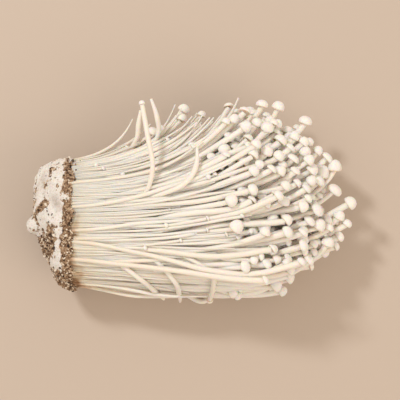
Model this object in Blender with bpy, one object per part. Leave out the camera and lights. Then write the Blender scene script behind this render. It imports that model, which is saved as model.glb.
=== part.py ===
"""Enoki mushroom bunch, lying on its side as it comes out of the pack.

A plug of sawdust and mycelium closes one end. The stems have grown together where they leave it,
stand in tufts of three, and fan out to their caps. Eight stray mushrooms lie on and beside the bunch.

Metres, +Z up. X runs along the bunch from the plug to the caps, and Y across it. The origin is on
the table, under the middle of the bunch. While the pieces are built, x = 0 is the face where the
stems leave the plug and y = 0 is the middle of that face; the last step centres the bunch.
"""

import math
import random

import bmesh
import bpy
from mathutils import Vector

MM = 0.001

# Driving dimensions.
PLUG_LENGTH = 17 * MM
ROOT_LENGTH = 9 * MM
ROOT_HALF_WIDTH = 29 * MM
ROOT_HEIGHT = 41 * MM
STEM_RADIUS = 1.35 * MM
CAP_RADIUS = 3.9 * MM
SMALLEST_CAP_RADIUS = 2.0 * MM
SHEAF_LENGTH = 40 * MM
GAP = 0.3 * MM
STEP = 1 * MM

# The rows of tufts, from the table up: height as a share of ROOT_HEIGHT, tufts in the row, and
# half width as a share of ROOT_HALF_WIDTH.
ROWS = (
    (0.10, 7, 0.80),
    (0.30, 8, 0.95),
    (0.50, 8, 0.95),
    (0.70, 7, 0.82),
    (0.90, 5, 0.56),
)
# The fan: place across the root face from -1 to 1, how far a stem that starts there has turned
# when it ends, in degrees, and how long it is.
FAN = (
    (-1.0, 5, 100 * MM),
    (-0.7, 13, 123 * MM),
    (-0.35, 21, 127 * MM),
    (0.0, 36, 124 * MM),
    (0.35, 49, 116 * MM),
    (0.65, 62, 99 * MM),
    (0.85, 70, 74 * MM),
    (1.0, 92, 50 * MM),
)
# How long the stems of a row are, as a share of the fan's length: the outer ones are shorter.
ROW_LENGTH = ((0.0, 0.86), (0.3, 0.98), (0.5, 1.0), (0.7, 0.92), (1.0, 0.74))
# The outer stems bow sideways by up to SPLAY, and the top ones rise by LIFT of their length.
SPLAY = math.radians(6)
LIFT = 0.08

# Three mushrooms to a tuft, at these angles round its middle.
TUFT_ANGLES = (math.radians(60), math.radians(180), math.radians(300))
TUFT_SIDES = 6
CAP_SIDES = 12
# The cap's rings: distance past the stem's end and radius, as shares of the cap's radius.
CAP_PROFILE = ((0.06, 1.0), (0.40, 0.90), (0.70, 0.42))
SEED = 7

# Stray mushrooms: points in millimetres that each one's stem passes through, with its root first.
STRAYS = {
    "crossing_mushroom_left": ((41, 13, 44.4), (39.6, 24, 45.8), (37.4, 38, 46), (34.8, 52.3, 44)),
    "crossing_mushroom_right": (
        (44, 12, 44.6), (51, 15.4, 45.8), (56.6, 20, 46.2), (59.4, 26, 46), (59.6, 33, 45)
    ),
    "upright_mushroom_short": ((30, 29.9, 22), (31.2, 36.5, 23.5), (32.4, 44, 25), (33.4, 50.5, 26)),
    "upright_mushroom_long": ((40.5, 31.4, 26), (41.6, 39, 27.5), (41, 47.6, 29), (38.4, 55.6, 30)),
    "bent_mushroom_left": ((28, -18, 42), (34, -23.6, 37.6), (40, -28.8, 28.6), (44, -33, 17)),
    "bent_mushroom_right": ((46, -17.6, 44), (49.6, -24.8, 38.4), (51.4, -30.2, 28), (51.6, -34.2, 15)),
    "hanging_mushroom": ((58, -15, 45), (65.6, -20.4, 43.4), (66.8, -27.6, 34.4), (65.4, -32.8, 23)),
    "curled_mushroom": (
        (48, -26.6, 4), (54, -31.6, 3.2), (60.4, -35, 3), (64.2, -34.4, 3.2), (66, -31.4, 4)
    ),
}

# Distance back from the root face, size as a share of the root face, and shift across the bunch.
PLUG_STATIONS = (
    (GAP, 1.00, 0.0),
    (4.5 * MM, 0.98, 1.0 * MM),
    (8.5 * MM, 0.87, 3.6 * MM),
    (12.5 * MM, 0.70, 6.4 * MM),
    (PLUG_LENGTH, 0.44, 8.4 * MM),
)
# Distance from the root face as a share of ROOT_LENGTH, and size as a share of the root face.
ROOT_STATIONS = ((0.0, 1.0), (0.55, 0.985), (1.0, 0.965))
LOAF_SIDES = 26
PLUG_LUMPS = 0.024
ROOT_LUMPS = 0.012
LUMP_LENGTH = 2.5 * MM
# How far the outline would reach below the table, as a share of half its height, if it weren't flat.
FLAT_SHARE = 0.09


def remove_everything():
    """An empty scene to build in."""
    for item in list(bpy.data.objects):
        bpy.data.objects.remove(item)


def between(table, value, column=1):
    """A column of a table read at a value of its first column, in straight lines between its rows."""
    for low, high in zip(table, table[1:]):
        if value <= high[0]:
            share = (value - low[0]) / (high[0] - low[0])
            return low[column] + max(share, 0) * (high[column] - low[column])
    return table[-1][column]


def make_material(name, colour, roughness):
    """A plain Principled material."""
    material = bpy.data.materials.new(name)
    material.use_nodes = True
    shader = material.node_tree.nodes["Principled BSDF"]
    shader.inputs["Base Color"].default_value = (*colour, 1.0)
    shader.inputs["Roughness"].default_value = roughness
    shader.inputs["Metallic"].default_value = 0.0
    return material


def make_object(name, mesh_in_work, material, parent):
    """A named object from a bmesh, its faces pointing out and its round parts shaded smooth."""
    bmesh.ops.recalc_face_normals(mesh_in_work, faces=mesh_in_work.faces)
    mesh = bpy.data.meshes.new(name)
    mesh_in_work.to_mesh(mesh)
    mesh_in_work.free()
    mesh.shade_smooth()
    mesh.set_sharp_from_angle(angle=math.radians(65))
    mesh.materials.append(material)
    made = bpy.data.objects.new(name, mesh)
    bpy.context.scene.collection.objects.link(made)
    made.parent = parent
    return made


def loaf_outline(x, size, shift, bumps):
    """A round outline across the bunch, with a flat underside on the table."""
    points = []
    for side in range(LOAF_SIDES):
        angle = 2 * math.pi * side / LOAF_SIDES
        swell = 1 + bumps * (math.sin(5 * angle + x / LUMP_LENGTH) + math.sin(8 * angle + 2))
        y = ROOT_HALF_WIDTH * size * swell * math.cos(angle)
        middle = ROOT_HEIGHT / 2
        z = middle + middle * size * swell * math.sin(angle) * (1 + FLAT_SHARE)
        points.append(Vector((x, y + shift, max(z - middle * (1 - size), 0))))
    return points


def skin(mesh_in_work, outlines):
    """A closed body through outlines with the same number of points: bridged rings and two end faces."""
    rings = [[mesh_in_work.verts.new(point) for point in outline] for outline in outlines]
    edges = []
    for ring in rings:
        for first, second in zip(ring, ring[1:] + ring[:1]):
            edges.append(mesh_in_work.edges.new((first, second)))
    bmesh.ops.bridge_loops(mesh_in_work, edges=edges)
    mesh_in_work.faces.new(rings[0])
    mesh_in_work.faces.new(rings[-1])


def stem_stations(place, height, distances):
    """The point and direction of a stem from (place, height) on the root face after each distance.

    place runs from -1 to 1 across the root face and height from 0 to 1 above the table. Every
    stem turns further than its neighbour on the -Y side, so no two of them meet.
    """
    turn = math.radians(between(FAN, place))
    length = between(FAN, place, column=2)
    position = Vector((ROOT_LENGTH + 2 * GAP, ROOT_HALF_WIDTH * place, ROOT_HEIGHT * height))
    travelled = 0.0
    stations = []
    for distance in distances:
        while True:
            share = travelled / length
            heading = SPLAY * place * math.sin(math.pi * min(share, 1)) + turn * share**2
            direction = Vector((math.cos(heading), math.sin(heading), LIFT * height)).normalized()
            step = min(STEP, distance - travelled)
            if step <= 0:
                break
            position = position + direction * step
            travelled += step
        stations.append((position, direction))
    return stations


def ring_points(centre, direction, across, upward, sides):
    """A ring round a point, square to a direction, with its own half sizes across and upward."""
    side = direction.cross(Vector((0, 0, 1))).normalized()
    top = side.cross(direction).normalized()
    angles = [2 * math.pi * number / sides for number in range(sides)]
    return [centre - side * across * math.cos(a) + top * upward * math.sin(a) for a in angles]


def grow(mesh_in_work, face, outline):
    """Extrudes a face and puts the new face's corners on an outline; returns the new face."""
    new_face = bmesh.ops.extrude_discrete_faces(mesh_in_work, faces=[face])["faces"][0]
    for corner, point in zip(new_face.verts, outline):
        corner.co = point
    return new_face


def matched(face, outline):
    """The outline's points started where they twist least against the face's corners."""
    corners = [corner.co for corner in face.verts]
    turns = [outline[start:] + outline[:start] for start in range(len(outline))]
    turns += [turned[::-1] for turned in turns]
    return min(turns, key=lambda turned: sum((a - b).length_squared for a, b in zip(corners, turned)))


def round_off(face, outline):
    """Gives a face twice its corners and puts them on an outline."""
    for edge in list(face.edges):
        bmesh.utils.edge_split(edge, edge.verts[0], 0.5)
    for corner, point in zip(face.verts, matched(face, outline)):
        corner.co = point


def grow_mushroom(mesh_in_work, face, stations, cap_radius):
    """Grows a stem from a face through stations of (point, direction), and a domed cap on its end."""
    for number, (point, direction) in enumerate(stations):
        radius = STEM_RADIUS * (0.85 + 0.15 * number / (len(stations) - 1))
        ring = ring_points(point, direction, radius, radius, TUFT_SIDES)
        face = grow(mesh_in_work, face, matched(face, ring))
    tip, direction = stations[-1]
    round_off(face, ring_points(tip, direction, STEM_RADIUS, STEM_RADIUS, CAP_SIDES))
    for along, share in CAP_PROFILE:
        centre = tip + direction * along * cap_radius
        ring = ring_points(centre, direction, share * cap_radius, share * cap_radius, CAP_SIDES)
        face = grow(mesh_in_work, face, matched(face, ring))


def plan_tufts(chooser):
    """One entry for each tuft: its place and height on the root face, half sizes, and three mushrooms."""
    tufts = []
    row_pitch = ROOT_HEIGHT * (ROWS[1][0] - ROWS[0][0])
    for row, (height, count, width) in enumerate(ROWS):
        tuft_pitch = 2 * ROOT_HALF_WIDTH * width / count
        across = tuft_pitch / 2 - GAP / 2
        upward = (row_pitch - GAP) / 2 / math.sin(math.pi / 3)
        for number in range(count):
            place = width * (2 * (number + 0.5) / count - 1)
            mushrooms = []
            for angle in TUFT_ANGLES:
                own_place = place + 0.5 * across * math.cos(angle) / ROOT_HALF_WIDTH
                own_height = height + 0.45 * upward * math.sin(angle) / ROOT_HEIGHT
                share = between(ROW_LENGTH, height) * chooser.uniform(0.74, 1.0)
                length = max(share * between(FAN, own_place, column=2), SHEAF_LENGTH + 9 * MM)
                mushrooms.append({"place": own_place, "height": own_height, "length": length})
            tufts.append(
                {
                    "name": f"tuft_row{row + 1}_{number + 1}",
                    "place": place,
                    "height": height,
                    "across": across,
                    "upward": upward,
                    "mushrooms": mushrooms,
                }
            )
    return tufts


def fit_caps(mushrooms):
    """Opens each cap to its full size, or until it nears a neighbour or the table."""
    for mushroom in mushrooms:
        distances = [number / 30 * mushroom["length"] for number in range(1, 31)]
        stations = stem_stations(mushroom["place"], mushroom["height"], distances)
        mushroom["tip"], mushroom["way"] = stations[-1]
        mushroom["line"] = [point for point, direction in stations]
    for mushroom in mushrooms:
        middle = mushroom["tip"] + mushroom["way"] * 0.3 * CAP_RADIUS
        mushroom["middle"] = middle
        room = min(CAP_RADIUS, mushroom["tip"].z)
        for other in mushrooms:
            if other is mushroom:
                continue
            nearest = min((middle - point).length for point in other["line"])
            room = min(room, nearest - STEM_RADIUS - GAP)
            other_cap = other.get("cap_radius")
            if other_cap is None:
                room = min(room, max(((middle - other["tip"]).length - GAP) / 2, SMALLEST_CAP_RADIUS))
            else:
                room = min(room, (middle - other["middle"]).length - other_cap - GAP)
        mushroom["cap_radius"] = max(room, 1.15 * STEM_RADIUS)


def build_plug(parent, material):
    """The plug: what the bunch grew on, a lumpy block of sawdust bound by mycelium."""
    work = bmesh.new()
    outlines = [loaf_outline(-back, size, shift, PLUG_LUMPS) for back, size, shift in PLUG_STATIONS]
    skin(work, outlines)
    return make_object("substrate_plug", work, material, parent)


def build_grown_together_base(parent, material):
    """The base where all stems have grown together into one piece."""
    work = bmesh.new()
    outlines = [loaf_outline(share * ROOT_LENGTH, size, 0.0, ROOT_LUMPS) for share, size in ROOT_STATIONS]
    skin(work, outlines)
    return make_object("grown_together_base", work, material, parent)


def build_tuft(tuft, parent, material):
    """A sheaf of stems that cling together, which parts into three mushrooms."""
    work = bmesh.new()
    rings = []
    distances = (0.0, SHEAF_LENGTH / 2, SHEAF_LENGTH)
    for centre, direction in stem_stations(tuft["place"], tuft["height"], distances):
        rings.append(ring_points(centre, direction, tuft["across"], tuft["upward"], TUFT_SIDES))
    root = [work.verts.new(point) for point in rings[0]]
    face = work.faces.new(root)
    for ring in rings[1:]:
        face = grow(work, face, ring)
    work.faces.new(root)
    # The sheaf's end: a middle corner and three half-way corners part it into three six-sided faces.
    corners = list(face.verts)
    centre = work.verts.new(sum((corner.co for corner in corners), Vector()) / TUFT_SIDES)
    half_way = [work.verts.new((centre.co + corner.co) / 2) for corner in corners[::2]]
    bmesh.ops.delete(work, geom=[face], context="FACES_ONLY")
    for number, mushroom in enumerate(tuft["mushrooms"]):
        outer = [corners[(2 * number + step) % TUFT_SIDES] for step in range(3)]
        following = half_way[(number + 1) % 3]
        footprint = work.faces.new([centre, half_way[number], *outer, following])
        grow_from_footprint(work, footprint, mushroom)
    return make_object(tuft["name"], work, material, parent)


def grow_from_footprint(work, footprint, mushroom):
    """Grows one mushroom from its share of a sheaf's end."""
    shares = (0.0, 0.3, 0.62, 1.0)
    start = SHEAF_LENGTH + 4 * MM
    distances = [start + share * (mushroom["length"] - start) for share in shares]
    stations = stem_stations(mushroom["place"], mushroom["height"], distances)
    grow_mushroom(work, footprint, stations, mushroom["cap_radius"])


def build_stray(name, points_mm, parent, material):
    """A single mushroom whose stem passes through a few points."""
    points = [Vector(point) * MM for point in points_mm]
    stations = []
    for number, point in enumerate(points):
        before = points[max(number - 1, 0)]
        after = points[min(number + 1, len(points) - 1)]
        stations.append((point, (after - before).normalized()))
    work = bmesh.new()
    start, direction = stations[0]
    ring = ring_points(start, direction, 0.7 * STEM_RADIUS, 0.7 * STEM_RADIUS, TUFT_SIDES)
    root = [work.verts.new(point) for point in ring]
    face = work.faces.new(root)
    grow_mushroom(work, face, stations[1:], min(SMALLEST_CAP_RADIUS, stations[-1][0].z))
    work.faces.new(root)
    return make_object(name, work, material, parent)


def centre_on_table(holder):
    """Moves the whole bunch so that its box stands on the origin."""
    bpy.context.view_layer.update()
    corners = [
        piece.matrix_world @ vertex.co for piece in holder.children for vertex in piece.data.vertices
    ]
    low = [min(corner[axis] for corner in corners) for axis in range(3)]
    high = [max(corner[axis] for corner in corners) for axis in range(3)]
    holder.location = (-(low[0] + high[0]) / 2, -(low[1] + high[1]) / 2, -low[2])
    print("bunch, mm:", [round((high[axis] - low[axis]) / MM, 1) for axis in range(3)])
    print("moved by, mm:", [round(value / MM, 2) for value in holder.location])


def main():
    remove_everything()
    chooser = random.Random(SEED)
    holder = bpy.data.objects.new("bunch", None)
    bpy.context.scene.collection.objects.link(holder)
    substrate = make_material("substrate", (0.50, 0.38, 0.27), 0.95)
    flesh = make_material("mushroom_flesh", (0.90, 0.86, 0.76), 0.5)

    build_plug(holder, substrate)
    build_grown_together_base(holder, flesh)
    tufts = plan_tufts(chooser)
    fit_caps([mushroom for tuft in tufts for mushroom in tuft["mushrooms"]])
    for tuft in tufts:
        build_tuft(tuft, holder, flesh)
    for name, points_mm in STRAYS.items():
        build_stray(name, points_mm, holder, flesh)
    centre_on_table(holder)


main()
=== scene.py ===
# %% [markdown]
# # A bunch of enoki mushrooms
#
# Enoki are grown in bottles. What comes out of one is a plug of sawdust held together by white
# mycelium, and on it a few hundred mushrooms so thin and long that they hold each other up. This
# bunch lies on its side, so its stems fan out to one side and its caps lie in layers.
#
# The bunch is built in the order it grows: the ground it stands in, the plan of its roots, the way
# each stem takes, the room that stems and caps leave each other, and then flesh on every line.

import math

import bmesh
import bpy
import numpy as np
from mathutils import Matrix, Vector, kdtree, noise


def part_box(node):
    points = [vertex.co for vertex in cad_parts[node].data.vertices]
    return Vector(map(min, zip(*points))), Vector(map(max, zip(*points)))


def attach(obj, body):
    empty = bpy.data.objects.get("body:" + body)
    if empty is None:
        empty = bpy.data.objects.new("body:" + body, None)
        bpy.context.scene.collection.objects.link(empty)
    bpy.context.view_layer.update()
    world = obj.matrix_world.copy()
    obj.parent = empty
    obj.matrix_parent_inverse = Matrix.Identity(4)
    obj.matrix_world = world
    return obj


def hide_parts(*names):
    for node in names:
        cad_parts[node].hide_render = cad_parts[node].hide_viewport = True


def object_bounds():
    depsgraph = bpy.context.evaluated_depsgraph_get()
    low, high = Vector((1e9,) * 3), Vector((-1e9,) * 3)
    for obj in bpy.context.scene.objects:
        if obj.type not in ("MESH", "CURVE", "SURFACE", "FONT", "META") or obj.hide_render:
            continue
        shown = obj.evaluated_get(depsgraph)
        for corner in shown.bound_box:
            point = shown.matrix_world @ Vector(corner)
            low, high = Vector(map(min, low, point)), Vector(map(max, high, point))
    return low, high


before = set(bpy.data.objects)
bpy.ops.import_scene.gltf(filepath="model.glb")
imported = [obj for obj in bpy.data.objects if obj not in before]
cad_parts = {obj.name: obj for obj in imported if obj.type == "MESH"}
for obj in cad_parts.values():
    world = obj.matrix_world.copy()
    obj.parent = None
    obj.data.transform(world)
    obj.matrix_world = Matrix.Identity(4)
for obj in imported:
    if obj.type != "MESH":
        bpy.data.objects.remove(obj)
CAD_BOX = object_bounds()
MM = 0.001
BODY = "root"

print("nodes:", len(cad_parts))
print("box, mm:", [round((b - a) / MM, 1) for a, b in zip(*CAD_BOX)])

# %% [markdown]
# ## Where the bunch begins
#
# Everything is measured from the root face, where the stems leave the plug. Its place comes from
# the solid of the grown-together base, so the looks stay in step with the solids. A mushroom is
# then described by three numbers: its place across the root face from -1 to 1, its height on the
# face from 0 to 1, and its length.

# %% The root face
BASE_LOW, BASE_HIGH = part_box("grown_together_base")
PLUG_LOW, PLUG_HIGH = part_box("substrate_plug")
ROOT_FACE = Vector((BASE_LOW.x, (BASE_LOW.y + BASE_HIGH.y) / 2, 0.0))
ROOT_HALF_WIDTH = 29 * MM
ROOT_HEIGHT = 41 * MM

print("root face, mm:", [round(v / MM, 1) for v in ROOT_FACE])
print("plug behind it, mm:", round((PLUG_HIGH.x - PLUG_LOW.x) / MM, 1))

# %% [markdown]
# ## How the stems fan out
#
# A stem could be drawn by hand, but there are hundreds, and they all follow one rule: they leave
# the root face side by side and turn towards +Y, those on the +Y side most of all. So the rule is
# written as a table, and a stem's line is walked from it in small steps.

# %% The fan's rule
# Place across the root face, degrees turned at the end, and length in millimetres.
FAN = np.array(
    (
        (-1.0, 10, 98),
        (-0.7, 16, 121),
        (-0.35, 22, 126),
        (0.0, 36, 124),
        (0.35, 49, 116),
        (0.65, 62, 99),
        (0.85, 70, 74),
        (1.0, 92, 50),
    )
)
# Height on the root face, the half width of the face there, and the length that stems reach.
HEIGHTS = np.array(
    ((0.0, 0.55, 0.86), (0.1, 0.80, 0.90), (0.3, 0.97, 0.98), (0.5, 1.0, 1.0),
     (0.7, 0.86, 0.93), (0.9, 0.60, 0.80), (1.0, 0.30, 0.74))
)
SPLAY = math.radians(6)
# A stem's last stretch turns by this much more, and stems high on the face climb by this share.
LATE_TURN = math.radians(24)
LIFT = 0.08
STEP = 1 * MM


def fan_turn(place):
    """How far stems at these places have turned at their ends, in radians."""
    return np.radians(np.interp(place, FAN[:, 0], FAN[:, 1]))


def fan_length(place):
    """How long the longest stems at these places are."""
    return np.interp(place, FAN[:, 0], FAN[:, 2]) * MM


def walk_fan(place, height, count):
    """Lines of count points, a STEP apart, for stems that start at these places and heights."""
    place, height = np.asarray(place, float), np.asarray(height, float)
    turn, length = fan_turn(place), fan_length(place)
    points = np.zeros((len(place), count, 3))
    start_x = np.full(len(place), ROOT_FACE.x)
    start_y = ROOT_FACE.y + ROOT_HALF_WIDTH * place
    here = np.stack([start_x, start_y, ROOT_HEIGHT * height], axis=1)
    for number in range(count):
        points[:, number] = here
        share = number * STEP / length
        heading = SPLAY * place * np.sin(np.pi * np.minimum(share, 1)) + turn * share**2
        heading += LATE_TURN * np.minimum(share, 1) ** 7
        here = here + STEP * np.stack([np.cos(heading), np.sin(heading), LIFT * height], axis=1)
    return points


middle_stem = walk_fan([0.0], [0.5], 125)[0]
print("a stem from the middle ends at, mm:", (middle_stem[-1] / MM).round())

# %% [markdown]
# ## The mushrooms on top
#
# The top layer is what the eye reads, so its caps are placed one by one: where each cap lies and
# how wide it is. The rule is then run backwards, to find the place on the root face from which a
# stem reaches that cap. A cap far out hangs lower, because only the middle layers reach so far.

# %% Caps placed one by one
# The cap's middle along and across the bunch and its width, in millimetres from the bunch's origin.
# A width of 0 is a stem that ends in a point, as the ones crowded out do.
TOP_CAPS = (
    (30, 43, 6), (37, 42.5, 6.2), (21, 40.5, 5.8), (17.5, 37, 5.2), (28, 35.5, 5.4), (20, 31.5, 5.6),
    (32, 31.5, 6.2), (35.5, 34, 4.6), (38.5, 28.5, 6.6), (50, 37, 6.6), (44.5, 29.5, 5.2),
    (51, 27, 4.8), (41, 23, 5), (43.5, 20.5, 6.4), (37, 20, 5.6), (46.5, 24.5, 5.2), (49, 21, 5.8),
    (54.5, 20, 5), (59.5, 20.5, 6.8), (50, 16.5, 5.4), (38, 13.5, 5.4), (43.5, 13, 5.2),
    (52, 13, 6.8), (62.5, 13, 6.6), (59, 9.5, 7), (62.5, 3.5, 7.4), (48.5, 5, 5.2), (23, 22.5, 5.2),
    (15, 18.5, 4), (23.5, 17, 4.6), (70, -1.5, 6.6), (54, -4.5, 7), (47, -1.5, 5.6), (49.5, 0.5, 4.6),
    (40.5, -9.5, 5.8), (34.5, 2, 4.4), (62.5, -9, 5.4), (63, -12, 6.2), (67, -10, 5),
    (55.5, -12, 6.6), (38.5, -14.5, 6), (45.5, -16, 5.6), (59.5, -19, 6.2), (46.5, -21, 6.2),
    (64.5, -20, 4.6), (69, -20, 5.2), (68.5, -25, 5.4), (59, -24, 5.4), (53.5, -28.5, 5.6),
    (29.5, -23.5, 4.8), (31, -28, 5.2), (34.5, -28.5, 5), (33.5, -31, 4.8), (32.5, -35.5, 5),
    (48.5, -34.5, 5.4), (55, -33.5, 5.2), (58, -34, 5), (61.5, -34.5, 5), (27, -36.5, 4.6),
    (25.5, -34.5, 4.4), (13, 34, 4.2),
    (3, 38.5, 0), (6.5, 37, 0), (11, 38.5, 0), (-6.5, 33, 0), (-9, 31.5, 0), (-11, 30, 0), (1.5, 35, 0),
    (9.5, 33, 0), (-3, 31, 0), (-13, 28.5, 0), (-16.5, 28, 0),
)


SEARCHED_PLACES = 161
SEARCHED_STEPS = 140


def find_roots(x, y):
    """The place on the root face, and the distance along, from which a stem reaches each point."""
    places = np.linspace(-1.0, 1.0, SEARCHED_PLACES)
    lines = walk_fan(places, np.full(SEARCHED_PLACES, 0.5), SEARCHED_STEPS)[:, :, :2]
    found_place, found_distance = [], []
    for point in zip(x, y):
        away = np.linalg.norm(lines - np.array(point), axis=2)
        row, column = np.unravel_index(away.argmin(), away.shape)
        found_place.append(places[row])
        found_distance.append(column * STEP)
    return np.array(found_place), np.array(found_distance)


def roof(place, heights=(0.98, 0.93, 0.72, 0.55)):
    """How high on the root face stems can start at these places; the face is round."""
    return np.interp(np.abs(place), (0.30, 0.60, 0.86, 1.0), heights)


top = np.array(TOP_CAPS, float)
top_place, top_length = find_roots(top[:, 0] * MM, top[:, 1] * MM)
reach = top_length / fan_length(top_place)
by_reach = np.interp(reach, (0.74, 0.80, 0.93, 1.0), (0.98, 0.93, 0.72, 0.50))
top_height = np.minimum(by_reach, roof(top_place))

print("caps placed by hand:", len(top))
print("their stems, mm:", top_length.min() / MM, "to", top_length.max() / MM)

# %% [markdown]
# ## The mushrooms under them
#
# The rest of the root face is filled as real stems fill it: side by side, as tightly as round
# stems pack. Each stem is up to three tenths shorter than the longest the rule allows there.

# %% Fill the root face
ROOT_PITCH = 2.1 * MM
# A row of round stems sits this much of a pitch above the row below it.
ROW_RISE = math.sin(math.pi / 3)
chance = np.random.default_rng(11)


def plan_fill():
    """Places, heights and lengths of the mushrooms below the top layer."""
    rows = []
    count_up = int(ROOT_HEIGHT * 0.97 / (ROOT_PITCH * ROW_RISE))
    for row in range(count_up):
        height = (row + 0.55) / count_up * 0.94
        width = np.interp(height, HEIGHTS[:, 0], HEIGHTS[:, 1])
        shift = 0.25 * (row % 2)
        count = int(2 * width * ROOT_HALF_WIDTH / ROOT_PITCH)
        for number in range(count):
            rows.append((width * (2 * (number + 0.25 + shift) / count - 1), height))
    rows = np.array(rows)
    rows += chance.normal(0, 1, rows.shape) * (0.012, 0.008)
    longest = np.interp(rows[:, 1], HEIGHTS[:, 0], HEIGHTS[:, 2]) * fan_length(rows[:, 0])
    length = longest * chance.uniform(0.70, 1.0, len(rows))
    return rows[:, 0], np.clip(rows[:, 1], 0.02, 1), length


fill_place, fill_height, fill_length = plan_fill()
kept = fill_height < roof(fill_place) + 0.01
fill_place, fill_height, fill_length = fill_place[kept], fill_height[kept], fill_length[kept]
fill_cap = np.clip(chance.normal(5.2, 0.7, len(fill_place)), 3.6, 6.8)
# On the +Y edge the stems stayed short, and few of them have a cap.
stunted = (fill_place > 0.60) & (chance.uniform(0, 1, len(fill_place)) < 0.88)
fill_cap[stunted] = 0.0

print("mushrooms below the top layer:", len(fill_place))

# %% [markdown]
# ## Stragglers on the outside
#
# Two more kinds lie on the outside of a real bunch. Pins are mushrooms that were crowded out: thin,
# short, mostly without a cap. Crossers are full-grown ones that slid out of line and lie across
# their neighbours. Both start round the edge of the root face.

# %% Pins and crossers
def plan_outside(number, shortest, longest):
    """Places, heights and lengths for mushrooms round the edge of the root face."""
    on_top = chance.uniform(0, 1, number) < 0.66
    place = chance.uniform(-0.92, 0.96, number)
    height = roof(place, (1.0, 0.95, 0.75, 0.60))
    side_height = chance.uniform(0.12, 0.80, number)
    side_place = np.interp(side_height, HEIGHTS[:, 0], HEIGHTS[:, 1])
    side_place = side_place * chance.choice((-1, 1), number)
    place = np.where(on_top, place, side_place)
    height = np.where(on_top, height, side_height)
    share = chance.uniform(shortest, longest, number)
    return place, height, share * fan_length(place)


PINS = 200
CROSSERS = 54
pin_place, pin_height, pin_length = plan_outside(PINS, 0.18, 0.72)
pin_cap = np.where(chance.uniform(0, 1, PINS) < 0.22, chance.uniform(1.6, 2.8, PINS), 0.0)
cross_place, cross_height, cross_length = plan_outside(CROSSERS, 0.45, 0.86)
cross_cap = np.where(cross_length > 80 * MM, chance.uniform(4.0, 5.6, CROSSERS), 0.0)

print("pins:", PINS, "crossers:", CROSSERS)

# %% [markdown]
# ## A line for every stem
#
# No stem is straight. Each one drifts a little to one side of its neighbours and sways on its way,
# which makes them cross at small angles, as they do in a real bunch.

# %% Lines with sway
SPACING = 4 * MM
STATION_STEPS = int(SPACING / STEP)

place = np.concatenate([top_place, fill_place, pin_place, cross_place])
height = np.concatenate([top_height, fill_height, pin_height, cross_height])
length = np.concatenate([top_length, fill_length, pin_length, cross_length])
cap_width = np.concatenate([top[:, 2], fill_cap, pin_cap, cross_cap]) * MM
kind = np.repeat((0, 1, 2, 3), (len(top), len(fill_place), PINS, CROSSERS))
is_top, is_pin = kind == 0, kind == 2
count = len(place)
stations = int(length.max() / SPACING) + 2
lines = walk_fan(place, height, stations * STATION_STEPS + 1)[:, ::STATION_STEPS][:, :stations]
distance = np.arange(stations) * SPACING
used = distance[None, :] <= length[:, None] + SPACING / 2
last = used.sum(axis=1) - 1


def sway(amount, waves):
    """A smooth sideways wandering for every stem, which grows along it."""
    share = distance[None, :] / (100 * MM)
    wander = np.zeros((count, stations))
    for wave in range(1, waves + 1):
        phase = chance.uniform(0, 2 * math.pi, (count, 1))
        size = chance.normal(0, 1, (count, 1)) / wave
        wander += size * (np.sin(share * wave * 4.0 + phase) - np.sin(phase))
    drift = chance.normal(0, 1, (count, 1)) * share**1.6
    return amount * (0.45 * wander * np.minimum(share * 1.5, 1) + drift)


# A top stem may sway on its way but must end under its cap.
progress = np.minimum(distance[None, :] / length[:, None], 1)
# How loose each kind lies: the top has its own rule, then fill, pins and crossers.
LOOSE = np.array((0, 1, 1.1, 2.3))
looseness = np.where(is_top[:, None], 1.1 * np.sin(np.pi * progress), LOOSE[kind][:, None])
across = sway(2.6 * MM, 3) * looseness
upward = sway(1.3 * MM, 3) * np.minimum(looseness, 1.2)
along = np.gradient(lines, axis=1)
along /= np.linalg.norm(along, axis=2, keepdims=True)
sideways = np.stack([-along[:, :, 1], along[:, :, 0], np.zeros((count, stations))], axis=2)
lines = lines + sideways * across[:, :, None]
lines[:, :, 2] += upward

print("stems:", count, "points on each:", stations)

# %% [markdown]
# ## How thick each stem is
#
# Near the root a stem is a thread of less than two millimetres. It thickens towards its cap.

# %% Thickness
def stem_radii():
    """The radius at every point of every stem."""
    own = chance.normal(1.0, 0.10, (count, 1)).clip(0.80, 1.25)
    own[is_pin] *= 0.62
    grown = np.interp(length, (45 * MM, 100 * MM), (0.72, 1.0))[:, None]
    full = np.interp(progress, (0.25, 0.6, 0.9, 1.0), (0.94, 1.22, 1.38, 1.38)) * MM * grown
    return np.where(progress < 0.25, 0.92 * MM * grown**0.5, full) * own


radius = stem_radii()
capless = cap_width < 1 * MM
taper = np.clip((length[:, None] - distance[None, :]) / (26 * MM), 0.16, 1)
radius = np.where(capless[:, None], radius * 0.9 * taper**0.6, radius)

print("radius, mm, from", (radius.min() / MM).round(2), "to", (radius.max() / MM).round(2))

# %% [markdown]
# ## Stray mushrooms
#
# A few stems left the bunch when it was unpacked. Two cross over on top, two stand out sideways,
# and some hang over the near edge. Each follows its own few points, through which a smooth curve
# is drawn.

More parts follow.
